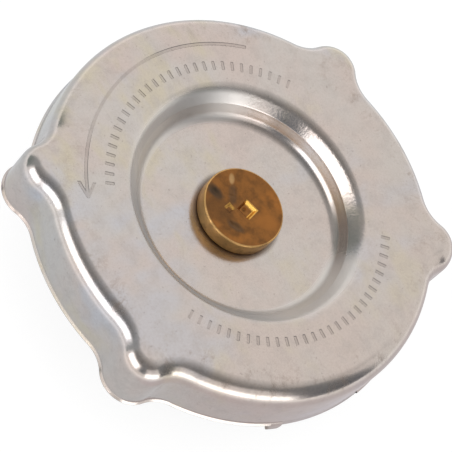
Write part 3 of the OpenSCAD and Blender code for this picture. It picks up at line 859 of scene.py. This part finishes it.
def old_brass():
    """Brown face with stains, gold painted highlights in the pockets' corners and on one dent, brighter side
    wall, fine scratches.
    """
    f = Finish("old_brass")
    tarnish, cloud = f.noise(520, 5, 0.65), f.noise(210, 3, 0.6)
    base = f.blend(tarnish.step(0.36, 0.68), FACE_BROWN, FACE_DARK)
    base = f.blend(cloud.step(0.52, 0.70) * 0.6, base, FACE_RED)
    # the ovals are stains, and the light gold one is a painted highlight
    for x, y, angle, half_l, half_w, tone, strength in STAINS_AND_HIGHLIGHT:
        oval_mark = oval(f, x, y, angle, half_l, half_w) * strength * (0.6 + 0.8 * tarnish)
        base = f.blend(oval_mark, base, tone)
    # painted highlight: gold on the two far walls of each pocket
    for x, y, angle, half_w, depth, soft in POCKETS:
        base = f.blend(corner(f, x, y, angle, half_w, soft) * min(0.9, 1.8 * depth), base, HIGHLIGHT_GOLD)
    wall = f.radius().step(SIDE_FROM, SIDE_FULL)
    base = f.blend(wall, base, f.blend(tarnish.step(0.45, 0.72), SIDE_BRIGHT, SIDE_DARK))
    scratches = f.noise(900, 4, 0.6, (1, 7, 1), 0.9) + 0.6 * f.noise(2500, 3, 0.6)
    return f.surface(base_color=base, metallic=1.0, roughness=0.30 + 0.16 * tarnish,
                     bump=(scratches, SCRATCH_DEPTH))


def turned_brass():
    """Clean brass with the fine rings of a lathe, a noise of the radius alone."""
    f = Finish("turned_brass")
    rings = f.node("ShaderNodeTexNoise", {"noise_dimensions": "1D"},
                   {"W": f.radius() * 5200.0, "Scale": 1.0, "Detail": 2.0})
    base = f.blend(f.noise(300, 3, 0.6).step(0.4, 0.7), (0.72, 0.48, 0.20), (0.56, 0.36, 0.14))
    return f.surface(base_color=base, metallic=1.0, roughness=0.28 + 0.12 * rings, bump=(rings, RING_DEPTH))


dress(rivet, old_brass())
dress(vacuum, turned_brass())

# %% [markdown]
# ## Rubber, wire and hidden steel
# The rings are black rubber with a dusty bloom. Springs are drawn wire with fine lines along them. The disc,
# cage and plate are plated sheet, duller than the shell because they never get handled. The cage, the plate
# and the two washers keep their packed mesh, since little of them shows.

# %% Rubber, wire and hidden steel
RUBBER_DEPTH, WIRE_DEPTH, SHEET_DEPTH = 0.00002, 0.00001, 0.00001


def toned(tone, *shares):
    """A colour as shares of one tone."""
    return tuple(tone * share for share in shares)


def rubber(name, tone):
    """Black with a paler, rougher bloom."""
    f = Finish(name)
    bloom = f.noise(260, 4, 0.6).step(0.45, 0.75)
    base = f.blend(bloom * 0.5, toned(tone, 1, 1, 0.98), toned(tone, 2.2, 2.1, 2.0))
    return f.surface(base_color=base, metallic=0.0, roughness=0.58 + 0.2 * bloom,
                     bump=(f.noise(3200, 3, 0.6), RUBBER_DEPTH))


def drawn_wire(name, tone):
    """Steel with lines, a noise that is short along the cap's axis."""
    f = Finish(name)
    lines = f.noise(1500, 3, 0.6, (1, 1, 6))
    base = f.blend(lines.step(0.35, 0.7), toned(tone, 1, 0.98, 0.95), toned(tone, 0.7, 0.68, 0.65))
    return f.surface(base_color=base, metallic=1.0, roughness=0.30 + 0.12 * lines, bump=(lines, WIRE_DEPTH))


def dull_sheet(name, tone, warm):
    """Plated sheet with cloudy patches; warm is the share of blue."""
    f = Finish(name)
    cloud = f.noise(160, 4, 0.6)
    base = f.blend(cloud.step(0.35, 0.7), toned(tone, 1, 0.97, warm), toned(tone, 0.84, 0.82, warm * 0.80))
    return f.surface(base_color=base, metallic=1.0, roughness=0.32 + 0.16 * cloud,
                     bump=(f.noise(1800, 4, 0.6), SHEET_DEPTH))


dress(seal, rubber("seal_rubber", 0.020))
dress(gasket, rubber("gasket_rubber", 0.016))
dress(spring, drawn_wire("spring_wire", 0.46))
dress(small, drawn_wire("fine_wire", 0.60))
dress(disc, dull_sheet("spring_sheet", 0.52, 0.94))
PACKED_SHEET = (("spring_cage", 0.56, 0.93), ("valve_plate", 0.58, 0.92), ("rivet_washer", 0.50, 0.95),
                ("spring_keeper", 0.54, 0.95))
for name, tone, warm in PACKED_SHEET:
    dress(nodes[name], dull_sheet(name + "_steel", tone, warm))

# %% [markdown]
# ## Floor
# The cap stands on its valve on a pale table. The table glows for the camera and for mirrors, which keeps
# the background white and leaves only a soft shadow. What mirrors see is greyer near the cap, where the cap
# shades the table, and that gives the skirt its grey.

# %% Floor
NEAR_LEFT, NEAR_RIGHT, FAR_TABLE = (0.53, 0.56, 0.585), (0.50, 0.455, 0.47), (0.98, 0.965, 0.95)
BACKGROUND_GLOW, TABLE_GREY = (0.82, 0.82, 0.82), (0.30, 0.30, 0.30)
FLOOR_GAP = 0.03  # millimetres under the gasket, so that the faces don't coincide
FLOOR_Z = (LAND_Z - FLOOR_GAP) * MM
SHADE_FROM, SHADE_END, TABLE_HALF = 0.060, 0.190, 4.0  # metres


def stage_piece(name, points, material):
    """An open grid of points in metres, shape (columns, rows, 3), as a stage piece with one material."""
    n, m = points.shape[:2]
    i = np.arange(n * m).reshape(n, m)
    quads = np.stack([i[:-1, :-1], i[1:, :-1], i[1:, 1:], i[:-1, 1:]], axis=-1).reshape(-1, 4)
    mesh = bpy.data.meshes.new(name)
    mesh.from_pydata(points.reshape(-1, 3).tolist(), [], quads.tolist())
    mesh.materials.append(material)
    piece = bpy.data.objects.new(name, mesh)
    bpy.context.scene.collection.objects.link(piece)
    return piece


def camera_ray(f):
    """1 for rays straight from the camera."""
    return f.node("ShaderNodeLightPath", out="Is Camera Ray")


def shows(f):
    """1 for rays that show the background: from the camera, off a mirror or through glass."""
    mirror = f.node("ShaderNodeLightPath", out="Is Glossy Ray")
    glass = f.node("ShaderNodeLightPath", out="Is Transmission Ray")
    return camera_ray(f).above(mirror).above(glass)


def glowing(f, base, glow):
    """A dull surface that gives off the glow and mirrors nothing."""
    return f.surface(base_color=base, roughness=1.0, specular_ior_level=0.0, emission_color=glow,
                     emission_strength=1.0)


def table_top():
    """Dull grey for light, and a glow for the rays that show the background."""
    f = Finish("table")
    seen = f.blend(lean(f, 0.010, 0.040), NEAR_LEFT, NEAR_RIGHT)
    seen = f.blend(f.radius().step(SHADE_FROM, SHADE_END), seen, FAR_TABLE)
    glow = f.blend(shows(f), (0, 0, 0), seen)
    glow = f.blend(camera_ray(f), glow, BACKGROUND_GLOW)
    return glowing(f, TABLE_GREY, glow)


side = np.linspace(-TABLE_HALF, TABLE_HALF, 3)
gx, gy = np.meshgrid(side, side, indexing="ij")
stage_piece("floor", np.stack([gx, gy, 0 * gx + FLOOR_Z], axis=-1), table_top())
print("floor at mm", round(FLOOR_Z / MM, 2))

# %% [markdown]
# ## Light
# A white tent surrounds the table. Two soft boxes stand low in front, left and right of the camera. Above
# them the tent has a grey roof and beside them darker gaps, which give the bright metal its dark bands. Roof
# and gaps are patches of a sphere that only mirrors see. A photographer would use black cards for this.

# %% Roof and gaps
BACK_WALL = (109.7, 53.4)  # azimuth and elevation that the flat top mirrors
ROOF_STOPS = ((0.0, 1.0), (0.034, 0.87), (0.134, 0.80), (0.212, 0.70), (0.293, 0.54), (0.5, 0.33),
              (0.62, 0.255), (1.0, 0.21))
WARM_SHARES = (1, 0.98, 0.955)


def direction(azimuth, elevation):
    """Unit vectors from the cap towards azimuths and elevations in degrees."""
    a, e = np.radians(azimuth), np.radians(elevation)
    return np.stack([np.cos(e) * np.cos(a), np.cos(e) * np.sin(a), np.sin(e)], axis=-1)


def card(name, az, el, counts, distance, f, tone):
    """Part of a sphere round the cap, between two azimuths and two elevations, seen by mirrors only."""
    a, e = np.meshgrid(np.linspace(*az, counts[0]), np.linspace(*el, counts[1]), indexing="ij")
    piece = stage_piece(name, distance * direction(a, e), glowing(f, (0, 0, 0), tone))
    piece.visible_camera = False
    piece.visible_diffuse = False
    piece.visible_shadow = False
    return piece


def gap(name, az, el, low, high, distance=0.7):
    """A card whose tone goes from low at the lower edge to high at the upper edge."""
    f = Finish(name)
    bottom, top = distance * np.sin(np.radians(el[0])), distance * np.sin(np.radians(el[1]))
    tone = f.blend(f.part("Z").step(bottom, top), low, high)
    return card(name, az, el, (25, 13), distance, f, tone)


def roof(az, el, stops, distance=0.8):
    """A card whose tone falls off with the angle from the bright wall behind: each stop is 1 minus the
    cosine of that angle, and a tone."""
    f = Finish("roof")
    wall = direction(*BACK_WALL) / distance
    near = f.node("ShaderNodeVectorMath", {"operation": "DOT_PRODUCT"},
                  {0: f.place, 1: tuple(wall.tolist())}, out="Value")
    ramp = [(at, toned(tone, *WARM_SHARES)) for at, tone in stops]
    tone = f.node("ShaderNodeValToRGB", {"stops": ramp}, {"Fac": 1.0 - near})
    return card("roof", az, el, (49, 19), distance, f, tone)


roof((200, 430), (40, 89.5), ROOF_STOPS)
gap("gap_front", (299, 326), (13, 60), (0.16, 0.19, 0.22), (0.30, 0.31, 0.32))
gap("gap_left", (190, 226), (-1.2, 60), (0.24, 0.28, 0.27), (0.45, 0.46, 0.46))
gap("gap_right", (12, 47), (-1.2, 48), (0.16, 0.17, 0.19), (0.26, 0.27, 0.28))

# %% Soft boxes and tent
def placed(thing, right, upward, back, place):
    """Stands an object at a place with its own three axes along those directions."""
    m = np.eye(4)
    m[:3] = np.stack([right, upward, back, place], axis=1)
    thing.matrix_world = Matrix(m.tolist())


def soft_box(name, az, el, radiance, distance=0.6):
    """Area lamp that spans the azimuths and elevations seen from the cap, with an even radiance."""
    lamp = bpy.data.lights.new(name, "AREA")
    lamp.shape = "RECTANGLE"
    lamp.size = 2 * distance * np.tan(np.radians(az[1] - az[0]) / 2)
    lamp.size_y = 2 * distance * np.tan(np.radians(el[1] - el[0]) / 2)
    lamp.energy = radiance * np.pi * lamp.size * lamp.size_y
    box = bpy.data.objects.new(name, lamp)
    bpy.context.scene.collection.objects.link(box)
    middle = (az[0] + az[1]) / 2
    back = direction(middle, (el[0] + el[1]) / 2)
    right = direction(middle + 90, 0)
    placed(box, right, np.cross(back, right), back, back * distance)
    box.visible_camera = False
    print(name, "power", round(lamp.energy, 2))
    return box


soft_box("box_left", (239, 290), (13, 40), 2.0)
soft_box("box_right", (327, 371), (-1, 18), 1.8)
tent = Finish("tent", bpy.data.worlds.new("tent"))
sky = tent.blend(shows(tent), (0.75, 0.75, 0.75), (1.0, 0.975, 0.95))
sky = tent.blend(camera_ray(tent), sky, (1.0, 1.0, 1.0))
tent_glow = tent.node("ShaderNodeBackground", None, {"Color": sky, "Strength": 1.0})
tent.node("ShaderNodeOutputWorld", None, {"Surface": tent_glow})
bpy.context.scene.world = tent.owner

# %% [markdown]
# ## Camera
# The camera's place was worked out from the outline of the cap in the picture: it looks down on the cap from
# half a metre, about 53 degrees above its plane, with a long lens, and is rolled by nearly an eighth turn.

# %% Camera
TILT, ROLL, TURN = np.radians(36.647), np.radians(44.694), np.radians(19.7)
PIXELS, FOCAL, REACH, SENSOR = 452, 3471.4, 500.0, 36.0
SHIFT_X, SHIFT_Y = 3.431, 3.521
spin = np.array([[np.cos(TURN), -np.sin(TURN), 0], [np.sin(TURN), np.cos(TURN), 0], [0, 0, 1]])
rise = np.array([0, np.cos(TILT), np.sin(TILT)])
look = np.array([0, -np.sin(TILT), np.cos(TILT)])
level = np.array([1.0, 0, 0])
right = spin @ (np.sin(ROLL) * level + np.cos(ROLL) * rise)
upward = spin @ (-np.cos(ROLL) * level + np.sin(ROLL) * rise)
back = spin @ look
eye = (-SHIFT_X * right - SHIFT_Y * upward + REACH * back + np.array([0, 0, TOP])) * MM
lens = bpy.data.cameras.new("camera")
lens.sensor_width = SENSOR
lens.lens = FOCAL / PIXELS * SENSOR
lens.clip_start = 0.01
camera = bpy.data.objects.new("camera", lens)
bpy.context.scene.collection.objects.link(camera)
placed(camera, right, upward, back, eye)
bpy.context.scene.camera = camera
bpy.context.scene.view_settings.view_transform = "Standard"
print("camera at", [round(float(v), 4) for v in eye], "lens", round(lens.lens, 1))
